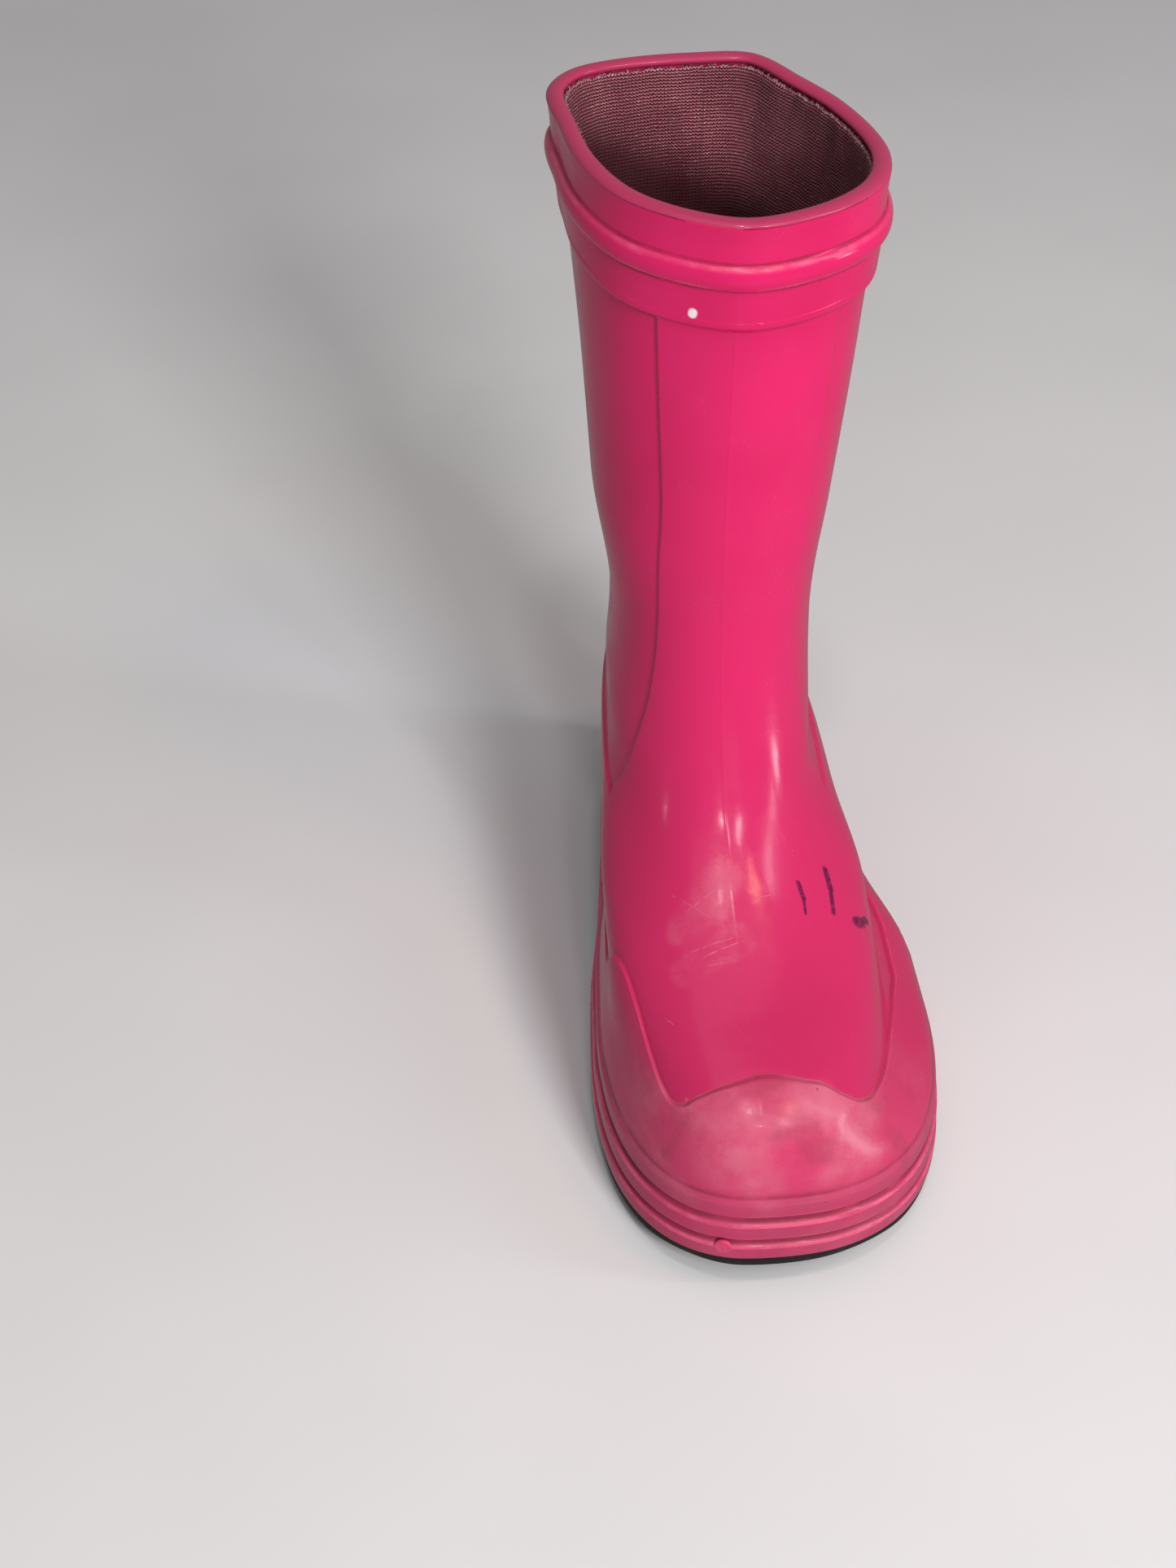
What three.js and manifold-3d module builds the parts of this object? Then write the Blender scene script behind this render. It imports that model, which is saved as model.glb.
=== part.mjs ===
// A child's rubber rain boot: the left boot of a pair, standing on its sole.
// Millimetres. +Z is up, the toe points to -Y, the inner side of the foot is -X.
//
// The boot's skin is described by slices. A slice is a closed outline at one "level", the height
// above the lip of the sole, and "turn" is the angle round it: 0 at the toe's centre line,
// 90 degrees at the outer side, 180 at the heel and -90 at the inner side.

import * as THREE from 'three';
import { mergeVertices } from 'three/addons/utils/BufferGeometryUtils.js';
import Module from 'manifold-3d';

const wasm = await Module();
wasm.setup();

const { clamp, degToRad, lerp, smoothstep } = THREE.MathUtils;

// ---------------------------------------------------------------- driving dimensions

const TREAD_BELOW_LIP = 3.5;    // sole rubber under the lip at the ball of the foot
const TOE_SPRING = 8;           // how far the lip rises again at the tip of the toe
const HEEL_LIFT = 9;            // how far the heel lifts the lip above the ball
const RIM = 220;                // level of the boot's mouth
const SHELL_WALL = 2.6;
const FLOOR_LEVEL = 5;          // inside of the moulding's bottom, above the lip
const LINING_THICKNESS = 1.2;
const GAP = 0.3;                // clearance between pieces that touch in the real boot
const FOOTBED_FOAM = 3.2;
const FOOTBED_CLOTH = 1.0;
const LINING_TOP = 217;         // the cut edge of the knit, just inside the mouth
const SPINE_MIDDLE = -102;      // y of the point that the rows under the foot shrink towards
const OUTSOLE_OUT = 1.4;        // the outsole's side, set back under the lip's edge

// Profile lines of the moulding, as [level, y]
const frontLine = curve([
  [0, -204], [20, -203.5], [30, -201], [38, -196], [44, -188], [48, -178], [52, -165],
  [57, -150], [64, -134], [74, -118], [86, -106], [100, -98], [120, -93], [150, -91], [220, -94],
]);
const backLine = curve([
  [0, 0], [20, 0], [35, 1.5], [50, -1], [70, -6], [90, -9], [110, -9], [150, -4], [185, 1], [220, 6],
]);
// Where a slice is widest, as [level, y], and how wide each side is there, as [level, mm]
const widestLine = curve([
  [0, -138], [30, -130], [45, -112], [57, -90], [70, -70], [90, -58], [120, -51], [220, -46],
]);
const outerHalfWidth = curve([
  [0, 51], [20, 51], [35, 38.5], [50, 37.5], [70, 28.4], [95, 28.5], [130, 32], [175, 35.3], [220, 36.7],
]);
const innerHalfWidth = curve([
  [0, 35.5], [20, 35.5], [35, 34], [50, 34.4], [70, 28.5], [95, 26.2], [130, 31], [220, 34],
]);
const SHAFT_INWARDS = 3.7;      // the shaft leans this far to the inner side of the foot
// Exponents of the slices: 2 is an ellipse, more is squarer
const frontSquareness = curve([[0, 2.4], [20, 2.4], [60, 2.1], [220, 2]]);
const backSquareness = curve([[0, 4.5], [25, 4.2], [50, 3], [80, 2.2], [220, 2]]);
// The foot narrows from the ball back to the heel: share of the width kept, as [y, share]
const outerTaper = curve([[-150, 1], [-115, 0.98], [-85, 0.79], [-55, 0.71], [-20, 0.66]]);
const innerTaper = curve([[-150, 1], [-115, 0.96], [-85, 0.85], [-55, 0.79], [-20, 0.77]]);

// The mouth is squeezed out of round. Plan view of its edge, as [turn in degrees, x, y]
const mouthEdge = [
  [-155, -25, 1], [-139, -38, -5], [-125, -44, -16], [-105, -42, -34], [-72, -38, -55],
  [-43, -30, -72], [-18, -17, -83], [3, -2, -88], [25, 14, -83], [47, 27, -73], [64, 33, -62],
  [84, 34, -48], [118, 28, -27], [145, 19, -11], [164, 9, 3], [182, -6, 4],
];
const SQUEEZE_FROM = 85;        // level where the squeezing of the shaft starts

// Stacked ribs round the foot, above the lip, as [level, how far out]
const foxingRibs = [
  [0, 3], [4.7, 3.1], [5.4, 1.7], [6.6, 1.6], [7.3, 2.7], [12.1, 2.5], [12.8, 1.1],
  [14, 1], [14.7, 1.9], [19, 1.7], [20.4, 0.9],
];
const FOXING_TOP = 20.4;

// The raised guard round the toe and along both sides: level of its edge, as [turn in degrees, level]
const guardEdge = curve([
  [-180, 34], [-120, 31], [-90, 35.5], [-74, 44], [-61, 48.6], [-53, 47.5], [-45, 42.5], [-37, 37.6],
  [-26, 41], [-12, 44.2], [2, 45.8], [22, 43], [31, 39.3], [39, 35.5], [48, 33.5], [66, 33.5],
  [82, 31], [95, 28], [120, 30], [180, 34],
]);
const GUARD_RAISED = 0.9;

// The shaft's front panel stands proud of its sides and back. Edge of the panel on each side,
// as [level, turn in degrees]
const innerPanelEdge = curve([
  [62, -74], [68, -63], [76, -52], [90, -41], [120, -30.5], [145, -27], [192, -28],
]);
const outerPanelEdge = curve([[62, 74], [79, 55], [96, 45], [117, 41], [192, 40]]);
const PANEL_FOOT = 62;          // the recess behind the panel ends here
const PANEL_RAISED = 0.8;

// The collar: two bands with a half-round bead between them, as [level, how far out]
const collarRows = [
  [193, 0], [193.9, 1], [202.8, 1.2], [204, 2.2], [206.6, 2.8], [209, 2.2], [210.4, 1],
  [214.5, 0.7], [218.6, 0.9],
];

// ---------------------------------------------------------------- small helpers

// Smooth curve through [position, value] pairs, level beyond both ends. It never overshoots,
// except where "round" is asked for: then it runs through each pair on the line of its neighbours.
function curve(knots, round = false) {
  const slope = ([x0, v0], [x1, v1]) => (v1 - v0) / (x1 - x0);
  const tangents = knots.map((knot, i) => {
    if (i === 0 || i === knots.length - 1) return 0;
    if (round) return slope(knots[i - 1], knots[i + 1]);
    const [before, after] = [slope(knots[i - 1], knot), slope(knot, knots[i + 1])];
    return before * after > 0 ? (2 * before * after) / (before + after) : 0;
  });
  return (x) => {
    const next = knots.findIndex(([position]) => position >= x);
    if (next === 0) return knots[0][1];
    if (next === -1) return knots[knots.length - 1][1];
    const [[x0, v0], [x1, v1]] = [knots[next - 1], knots[next]];
    const width = x1 - x0;
    const t = (x - x0) / width;
    const bend = t * (1 - t) * width;
    const ease = t * t * (3 - 2 * t);
    return lerp(v0, v1, ease) + bend * ((1 - t) * tangents[next - 1] - t * tangents[next]);
  };
}

function signedPower(value, exponent) {
  return Math.sign(value) * Math.abs(value) ** exponent;
}

// ---------------------------------------------------------------- the skin of the boot

// The mouth's edge as two curves over the turn, repeated past both ends so that it closes
const mouthTurns = [-360, 0, 360].flatMap((shift) => mouthEdge.map(([a, x, y]) => [a + shift, x, y]));
const mouthX = curve(mouthTurns.map(([angle, x]) => [angle, x]), true);
const mouthY = curve(mouthTurns.map(([angle, , y]) => [angle, y]), true);

// Height of the sole's lip above the ground, at one place along the foot
function lipHeight(y) {
  const toe = clamp((-150 - y) / 55, 0, 1.2);
  return TREAD_BELOW_LIP + TOE_SPRING * toe * toe + HEEL_LIFT * smoothstep(y, -125, -55);
}

// One slice before the squeezing of the mouth
function ovalPoint(turn, level) {
  const [c, s] = [Math.cos(turn), Math.sin(turn)];
  const front = c > 0;
  const outer = s > 0;
  const power = 2 / (front ? frontSquareness : backSquareness)(level);
  const widest = widestLine(level);
  const reach = front ? widest - frontLine(level) : backLine(level) - widest;
  const y = widest - reach * signedPower(c, power);
  const width = (outer ? outerHalfWidth : innerHalfWidth)(level);
  const footShare = 1 - smoothstep(level, 30, 80);
  const taper = lerp(1, (outer ? outerTaper : innerTaper)(y), footShare);
  return [width * taper * signedPower(s, power) - SHAFT_INWARDS * (1 - footShare), y];
}

// Point of the plain skin, without ribs and panels
function skinPoint(turn, level) {
  let [x, y] = ovalPoint(turn, level);
  const squeeze = clamp((level - SQUEEZE_FROM) / (RIM - SQUEEZE_FROM), 0, 1) ** 1.3;
  if (squeeze > 0) {
    const [rimX, rimY] = ovalPoint(turn, RIM);
    const degrees = (turn * 180) / Math.PI;
    x += squeeze * (mouthX(degrees) - rimX);
    y += squeeze * (mouthY(degrees) - rimY);
  }
  const shaft = smoothstep(level, 40, 100);
  const lift = lerp(lipHeight(y), TREAD_BELOW_LIP + HEEL_LIFT, shaft);
  return new THREE.Vector3(x, y, lift + level);
}

// The skin moved outwards (or inwards, when negative) along its own normal
function skin(turn, level, out) {
  const d = 0.02;
  const along = skinPoint(turn + d, level).sub(skinPoint(turn - d, level));
  const up = skinPoint(turn, Math.min(level + 1, RIM)).sub(skinPoint(turn, Math.max(level - 1, 0)));
  const normal = along.cross(up).normalize();
  if (level < FOXING_TOP) normal.setZ(0).normalize();
  return skinPoint(turn, level).addScaledVector(normal, out);
}

// ---------------------------------------------------------------- meshes and solids

function namedMesh(name, geometry, material) {
  geometry.computeVertexNormals();
  const mesh = new THREE.Mesh(geometry, material);
  mesh.name = name;
  return mesh;
}

function middle(ring) {
  const sum = ring.reduce((total, point) => total.add(point), new THREE.Vector3());
  return sum.divideScalar(ring.length);
}

// A closed skin through rings that all have the same count of points and run anticlockwise seen
// from above. The first and the last ring are closed to their middles.
function skinGeometry(rings) {
  const count = rings[0].length;
  const points = [...rings.flat(), middle(rings[0]), middle(rings[rings.length - 1])];
  const [firstMiddle, lastMiddle] = [points.length - 2, points.length - 1];
  const lastRing = (rings.length - 1) * count;
  const triangles = [];
  for (let i = 0; i < count; i += 1) {
    const j = (i + 1) % count;
    triangles.push(firstMiddle, j, i, lastMiddle, lastRing + i, lastRing + j);
    for (let ring = 0; ring < lastRing; ring += count) {
      const [a, b, c, d] = [ring + i, ring + j, ring + count + j, ring + count + i];
      const shortest = points[a].distanceTo(points[c]) < points[b].distanceTo(points[d]);
      triangles.push(...(shortest ? [a, b, c, a, c, d] : [a, b, d, b, c, d]));
    }
  }
  return new THREE.BufferGeometry().setFromPoints(points).setIndex(triangles);
}

// Positions only, with corners shared, so that the skin is closed
function welded(geometry) {
  geometry.deleteAttribute('normal');
  geometry.deleteAttribute('uv');
  return mergeVertices(geometry, 1e-4);
}

function toSolid(geometry) {
  return new wasm.Manifold(new wasm.Mesh({
    numProp: 3,
    vertProperties: new Float32Array(geometry.attributes.position.array),
    triVerts: new Uint32Array(geometry.index.array),
  }));
}

function fromSolid(solid) {
  const { vertProperties, triVerts } = solid.getMesh();
  const geometry = new THREE.BufferGeometry();
  geometry.setAttribute('position', new THREE.BufferAttribute(vertProperties, 3));
  geometry.setIndex(new THREE.BufferAttribute(triVerts, 1));
  return geometry;
}

// ---------------------------------------------------------------- materials

const pinkRubber = new THREE.MeshStandardMaterial({ color: 0xd81f63, roughness: 0.25 });
const darkRubber = new THREE.MeshStandardMaterial({ color: 0x1c1b1d, roughness: 0.7 });
const knitCloth = new THREE.MeshStandardMaterial({ color: 0xb98a92, roughness: 0.95 });
const paleFoam = new THREE.MeshStandardMaterial({ color: 0xe8e2d4, roughness: 0.9 });
const footbedCloth = new THREE.MeshStandardMaterial({ color: 0xa8707f, roughness: 0.95 });
const coreFoam = new THREE.MeshStandardMaterial({ color: 0xc9a66b, roughness: 0.8 });

// ---------------------------------------------------------------- columns and rows

// "across" is 0 on the front centre line, 1 on the edge of the front panel and 2 at the heel's
// centre line. Just behind 1 comes the foot of the panel's step.
const PANEL_COLUMNS = 5;
const REAR_COLUMNS = 16;        // closest together at the sides, where the foot is longest
const panelHalf = Array.from({ length: PANEL_COLUMNS + 1 }, (_, i) => (
  { across: i / PANEL_COLUMNS, sunk: 0 }
));
const rearHalf = Array.from({ length: REAR_COLUMNS }, (_, i) => (
  { across: 1 + ((i + 1) / REAR_COLUMNS) ** 1.35, sunk: 1 }
));
const halfRound = [...panelHalf, { across: 1.008, sunk: 1 }, ...rearHalf];
const columns = [
  ...halfRound.slice(1, -1).reverse().map((column) => ({ ...column, side: -1 })),
  ...halfRound.map((column) => ({ ...column, side: 1 })),
];

function columnTurn({ across, side }, level) {
  const edge = degToRad(side > 0 ? outerPanelEdge(level) : -innerPanelEdge(level));
  return side * (across <= 1 ? across * edge : lerp(edge, Math.PI, across - 1));
}

// A row round the boot at one level
function levelRow(level, out, recess = 0) {
  return columns.map((column) => skin(columnTurn(column, level), level, out - recess * column.sunk));
}

// A row round the foot that follows the guard's edge, "above" it, on its way up to the panel's foot.
// This low the columns stand still, so the turn doesn't depend on the level.
function guardRow(share, above, out) {
  return columns.map((column) => {
    const turn = columnTurn(column, PANEL_FOOT);
    const edge = guardEdge(THREE.MathUtils.radToDeg(turn));
    const level = share < 0 ? lerp(edge, FOXING_TOP, -share) : lerp(edge, PANEL_FOOT, share);
    return skin(turn, level + above, out);
  });
}

// A face under or inside the foot: its own edge, then rows that shrink towards the foot's spine, at
// a height that follows the sole. All faces share those inner rows, so that they stay parallel.
function soleFace(level, out, heightAt) {
  const edge = levelRow(level, out);
  const innerRows = [1, 0.75, 0.5, 0.25].map((share) => levelRow(0, -8).map(({ x, y }) => (
    new THREE.Vector3(x * share, lerp(SPINE_MIDDLE, y, share), 0)
  )));
  return [edge, ...innerRows].map((row) => row.map((point) => point.setZ(heightAt(point.y))));
}

const wallLevels = [LINING_TOP, 200, 177, 154, 133, 114, 99, 88, 78, 69, 62, 55, 49, 43, 36, 27, 17];

// A wall inside the boot from just under the mouth down to the foot
function wallRows(inset) {
  return wallLevels.map((level) => levelRow(level, -inset));
}

// ---------------------------------------------------------------- upper shell

// One moulding: collar, shaft, front panel, vamp, guard, ribs and the floor under the foot
function buildShell() {
  const underside = soleFace(0, OUTSOLE_OUT, lipHeight).reverse();
  const ribs = foxingRibs.map(([level, out]) => levelRow(level, out));
  const guard = [
    ...[-0.92, -0.6, -0.3].map((share) => guardRow(share, 0, GUARD_RAISED)),
    guardRow(0, -0.4, GUARD_RAISED),
    guardRow(0, 0.4, 0),
  ];
  const vamp = [0.16, 0.36, 0.58, 0.8, 1].map((share) => guardRow(share, 0, 0));
  const shaft = [63.2, 68, 73.5, 80, 88, 98, 111, 127, 148, 170, 192.2].map((level) => (
    levelRow(level, 0, PANEL_RAISED)
  ));
  const collar = collarRows.map(([level, out]) => levelRow(level, out));
  const mouth = [levelRow(RIM, 0.1), levelRow(RIM, 0.4 - SHELL_WALL), levelRow(RIM - 1.2, -SHELL_WALL)];
  const inside = wallRows(SHELL_WALL);
  const floor = soleFace(9, -SHELL_WALL - 1.5, (y) => lipHeight(y) + FLOOR_LEVEL);
  const rings = [...underside, ...ribs, ...guard, ...vamp, ...shaft, ...collar, ...mouth, ...inside, ...floor];
  return namedMesh('upper_shell', skinGeometry(rings), pinkRubber);
}

// ---------------------------------------------------------------- lining and footbed

// A knitted sock that follows the inside of the shell, open at the mouth
function buildLining() {
  const outside = SHELL_WALL + GAP;
  const inside = outside + LINING_THICKNESS;
  const under = (y) => lipHeight(y) + FLOOR_LEVEL + GAP;
  const over = (y) => under(y) + LINING_THICKNESS;
  const rings = [
    ...soleFace(9, -outside - 1.5, under).reverse(),
    ...wallRows(outside).reverse(),
    ...wallRows(inside),
    ...soleFace(10, -inside - 1.5, over),
  ];
  return namedMesh('sock_lining', skinGeometry(rings), knitCloth);
}

// One layer of the loose footbed, lying on the sock
function buildFootbedLayer(name, above, thickness, material) {
  const inset = SHELL_WALL + LINING_THICKNESS + 3 * GAP + 1.9;
  const bottom = (y) => lipHeight(y) + FLOOR_LEVEL + GAP + LINING_THICKNESS + GAP + above;
  const top = (y) => bottom(y) + thickness;
  const rings = [...soleFace(14, -inset, bottom).reverse(), ...soleFace(14, -inset, top)];
  return namedMesh(name, skinGeometry(rings), material);
}

// ---------------------------------------------------------------- outsole

// Height of the tread under the boot, along the foot: toe spring, ball, arched waist, heel
const treadBottom = curve([[-204, 6.5], [-190, 3], [-165, 0], [-112, 0], [-92, 4.5], [-72, 5]]);
const HEEL_BREAST = -66;        // y of the front face of the heel block
const GROOVE_WIDTH = 2.6;
const GROOVE_DEPTH = 1.7;
const ballGrooves = [-193, -184, -175, -166, -157, -148, -139, -130, -121, -112];
const heelGrooves = [-56, -47, -38, -29, -20, -11];
const CORE_X = 2;
const CORE_Y = -31;
const CORE_HALF_WIDTH = 20;
const CORE_HALF_LENGTH = 24;
const CORE_DEPTH = 8;

// A box across the whole sole that cuts a groove into the tread
function grooveCutter(y, tread) {
  const height = 8;
  const cutter = new THREE.BoxGeometry(140, GROOVE_WIDTH, height);
  return welded(cutter.translate(0, y, tread + GROOVE_DEPTH - height / 2));
}

// Everything under the tread's long section, from the toe to the breast of the heel
function underTread() {
  const below = -5;
  const section = new THREE.Shape();
  section.moveTo(-230, below);
  section.lineTo(-230, treadBottom(-230));
  for (let y = -204; y < HEEL_BREAST; y += 6) section.lineTo(y, treadBottom(y));
  section.lineTo(HEEL_BREAST, treadBottom(HEEL_BREAST));
  section.lineTo(HEEL_BREAST + 2, below);
  const cutter = new THREE.ExtrudeGeometry(section, { depth: 140, bevelEnabled: false });
  const acrossTheSole = new THREE.Matrix4().makeBasis(
    new THREE.Vector3(0, 1, 0), new THREE.Vector3(0, 0, 1), new THREE.Vector3(1, 0, 0),
  );
  return welded(cutter.applyMatrix4(acrossTheSole).translate(-70, 0, 0));
}

// The oval plug in the heel block's hollow, and, a little larger, the hollow itself
function heelPlug(grow, height) {
  const plug = new THREE.CylinderGeometry(1, 1, height, 32).rotateX(Math.PI / 2);
  const bottom = TREAD_BELOW_LIP + HEEL_LIFT - CORE_DEPTH - grow;
  plug.scale(CORE_HALF_WIDTH + grow, CORE_HALF_LENGTH + grow, 1);
  return welded(plug.translate(CORE_X, CORE_Y, bottom + height / 2));
}

function buildOutsole() {
  const top = (y) => lipHeight(y) - GAP;
  const onGround = levelRow(0, OUTSOLE_OUT - 1).map((point) => point.setZ(0));
  let sole = toSolid(skinGeometry([onGround, ...soleFace(0, OUTSOLE_OUT, top)]));
  const cutters = [
    underTread(),
    ...ballGrooves.map((y) => grooveCutter(y, treadBottom(y))),
    ...heelGrooves.map((y) => grooveCutter(y, 0)),
    heelPlug(GAP, 20),
  ];
  for (const cutter of cutters) sole = sole.subtract(toSolid(cutter));
  return namedMesh('outsole', fromSolid(sole), darkRubber);
}

function buildHeelCore() {
  return namedMesh('heel_core', heelPlug(0, CORE_DEPTH - 2 * GAP), coreFoam);
}

// ---------------------------------------------------------------- the boot

const group = new THREE.Group();
group.add(
  buildShell(),
  buildLining(),
  buildFootbedLayer('footbed_foam', 0, FOOTBED_FOAM, paleFoam),
  buildFootbedLayer('footbed_cloth', FOOTBED_FOAM + GAP, FOOTBED_CLOTH, footbedCloth),
  buildOutsole(),
  buildHeelCore(),
);

// The origin is on the ground, under the middle of the boot's box
const bounds = new THREE.Box3().setFromObject(group);
const centre = bounds.getCenter(new THREE.Vector3());
for (const mesh of group.children) mesh.geometry.translate(-centre.x, -centre.y, -bounds.min.z);

export default group;
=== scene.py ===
"""The looks of a child's rubber rain boot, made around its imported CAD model.

The boot's skin is worked out in the design frame of the CAD model, in millimetres: +Z is up, the
toe points to -Y and the inner side of the foot is -X. "level" is a height above the lip of the
sole and "turn" the angle round a slice: 0 at the toe, 90 degrees at the outer side. Meshes are
turned into metres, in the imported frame, when they are made.
"""

import math

import bpy
import numpy as np
from mathutils import Matrix, Vector


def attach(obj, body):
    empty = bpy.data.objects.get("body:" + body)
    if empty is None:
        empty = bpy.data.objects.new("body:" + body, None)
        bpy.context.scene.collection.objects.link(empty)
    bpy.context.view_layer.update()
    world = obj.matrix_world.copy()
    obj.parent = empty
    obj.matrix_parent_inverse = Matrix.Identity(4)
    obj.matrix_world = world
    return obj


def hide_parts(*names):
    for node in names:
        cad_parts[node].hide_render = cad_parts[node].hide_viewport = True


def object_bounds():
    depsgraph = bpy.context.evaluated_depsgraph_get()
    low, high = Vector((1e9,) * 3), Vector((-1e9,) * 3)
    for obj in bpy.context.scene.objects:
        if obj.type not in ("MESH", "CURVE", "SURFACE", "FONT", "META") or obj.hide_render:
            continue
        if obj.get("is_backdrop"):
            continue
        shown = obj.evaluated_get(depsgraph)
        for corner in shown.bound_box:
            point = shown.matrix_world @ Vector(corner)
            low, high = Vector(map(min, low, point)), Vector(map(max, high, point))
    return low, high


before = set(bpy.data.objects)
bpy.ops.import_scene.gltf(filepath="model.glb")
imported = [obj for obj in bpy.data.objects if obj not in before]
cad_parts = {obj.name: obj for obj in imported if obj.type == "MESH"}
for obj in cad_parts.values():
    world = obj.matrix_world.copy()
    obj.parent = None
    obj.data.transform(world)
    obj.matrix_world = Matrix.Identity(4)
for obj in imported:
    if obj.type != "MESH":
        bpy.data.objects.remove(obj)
cad_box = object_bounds()

# ------------------------------------------------------------------ driving dimensions, mm

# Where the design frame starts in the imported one
DESIGN_ORIGIN = np.array([-4.289, 100.563, 0.0])

TREAD_BELOW_LIP = 3.5
TOE_SPRING = 8
HEEL_LIFT = 9
RIM = 220
SHELL_WALL = 2.6
FLOOR_LEVEL = 5
LINING_THICKNESS = 1.2
GAP = 0.3
FOOTBED_FOAM = 3.2
FOOTBED_CLOTH = 1.0
RIM_ROLL = 0.9              # how far the mouth's rounded edge stands over the lining
FRONT_ROLL = 0.8            # how much further it does so at the front
LINING_TOP = 217.6
SPINE_MIDDLE = -102         # the y that the rows under the foot shrink towards
UNDER_FOOT_INSET = 8
OUTSOLE_OUT = 1.4
SHAFT_INWARDS = 3.7         # how far the shaft stands towards the inner side
SQUEEZE_FROM = 85
SIDES_BLEND = 0.25          # sine of the turn over which the two sides pass into each other
FOXING_TOP = 20.4
GUARD_RAISED = 0.9
PANEL_FOOT = 62
PANEL_RAISED = 0.8
COLLAR_FOOT = 193
HEEL_BREAST = -66
SOLE_PROUD = 1.3            # the moulded edge of the outsole, beyond the plain CAD one
GROOVE_DEPTH = 1.7
LUG_PITCH = 9.0
LUG_GROOVE = 2.6
LUG_ROOT = 0.4              # how deep the lugs are sunk into the plate they stand on
FRONT_PARTING = 0.06        # height of the parting line's ridge, at the front and at the heel
BACK_PARTING = 0.07
PARTING_HALF_WIDTH = 0.36
WEAR_BEND = 0.16            # how far a point stands off its neighbours' mean where wear is full

WALES_PER_MM = 1.05         # knit stitches across
COURSES_PER_MM = 1.15       # knit rows up the leg


def curve(knots, rounded=False):
    """Smooth curve through [position, value] pairs, level beyond both ends."""
    places, values = np.array(knots, float).T
    slopes = np.diff(values) / np.diff(places)
    tangents = np.zeros(len(places))
    if rounded:
        tangents[1:-1] = (values[2:] - values[:-2]) / (places[2:] - places[:-2])
    else:
        before, after = slopes[:-1], slopes[1:]
        agree = before * after > 0
        safe_sum = np.where(agree, before + after, 1)
        tangents[1:-1] = np.where(agree, 2 * before * after / safe_sum, 0)

    def value(position):
        x = np.clip(position, places[0], places[-1])
        after = np.clip(np.searchsorted(places, x), 1, len(places) - 1)
        width = places[after] - places[after - 1]
        t = (x - places[after - 1]) / width
        start, end = values[after - 1], values[after]
        bend = t * (1 - t) * width * ((1 - t) * tangents[after - 1] - t * tangents[after])
        return start + (end - start) * t * t * (3 - 2 * t) + bend

    return value


def smoothstep(x, start, end):
    t = np.clip((x - start) / (end - start), 0, 1)
    return t * t * (3 - 2 * t)


def signed_power(value, exponent):
    return np.sign(value) * np.abs(value) ** exponent


front_line = curve([
    (0, -204), (20, -203.5), (30, -201), (38, -196), (44, -188), (48, -178), (52, -165),
    (57, -150), (64, -134), (74, -118), (86, -106), (100, -98), (120, -93), (150, -91), (220, -94),
])
back_line = curve([
    (0, 0), (20, 0), (35, 1.5), (50, -1), (70, -6), (90, -9), (110, -9), (150, -4), (185, 1),
    (220, 6),
])
widest_line = curve([
    (0, -138), (30, -130), (45, -112), (57, -90), (70, -70), (90, -58), (120, -51), (220, -46),
])
outer_half_width = curve([
    (0, 51), (20, 51), (35, 38.5), (50, 37.5), (70, 28.4), (95, 28.5), (130, 32), (175, 35.3),
    (220, 36.7),
])
inner_half_width = curve([
    (0, 35.5), (20, 35.5), (35, 34), (50, 34.4), (70, 28.5), (95, 26.2), (130, 31), (220, 34),
])
front_squareness = curve([(0, 2.4), (20, 2.4), (60, 2.1), (220, 2)])
back_squareness = curve([(0, 4.5), (25, 4.2), (50, 3), (80, 2.2), (220, 2)])
outer_taper = curve([(-150, 1), (-115, 0.98), (-85, 0.79), (-55, 0.71), (-20, 0.66)])
inner_taper = curve([(-150, 1), (-115, 0.96), (-85, 0.85), (-55, 0.79), (-20, 0.77)])
mouth_edge = [
    (-155, -25, 1), (-139, -38, -5), (-125, -44, -16), (-105, -42, -34), (-72, -38, -55),
    (-43, -30, -72), (-18, -17, -83), (3, -2, -88), (25, 14, -83), (47, 27, -73), (64, 33, -62),
    (84, 34, -48), (118, 28, -27), (145, 19, -11), (164, 9, 3), (182, -6, 4),
]
mouth_turns = [(a + shift, x, y) for shift in (-360, 0, 360) for a, x, y in mouth_edge]
mouth_x = curve([(a, x) for a, x, _ in mouth_turns], rounded=True)
mouth_y = curve([(a, y) for a, _, y in mouth_turns], rounded=True)
guard_edge = curve([
    (-180, 34), (-120, 31), (-90, 35.5), (-76, 43), (-66, 47.6), (-58, 48.6), (-51, 46.8),
    (-45, 42.6), (-40, 39.2), (-36, 38), (-31, 38.8), (-24, 41.5), (-12, 44.4), (2, 45.8),
    (20, 43.6), (31, 39.3), (38, 36), (46, 33.9), (58, 33.2), (68, 33), (82, 31), (95, 28),
    (120, 30), (180, 34),
])
inner_panel_edge = curve([
    (62, -74), (68, -63), (76, -52), (90, -41), (120, -30.5), (145, -27), (192, -28),
])
outer_panel_edge = curve([(62, 74), (79, 55), (96, 45), (117, 41), (192, 40)])
tread_bottom = curve([(-204, 6.5), (-190, 3), (-165, 0), (-112, 0), (-92, 4.5), (-72, 5)])

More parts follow.
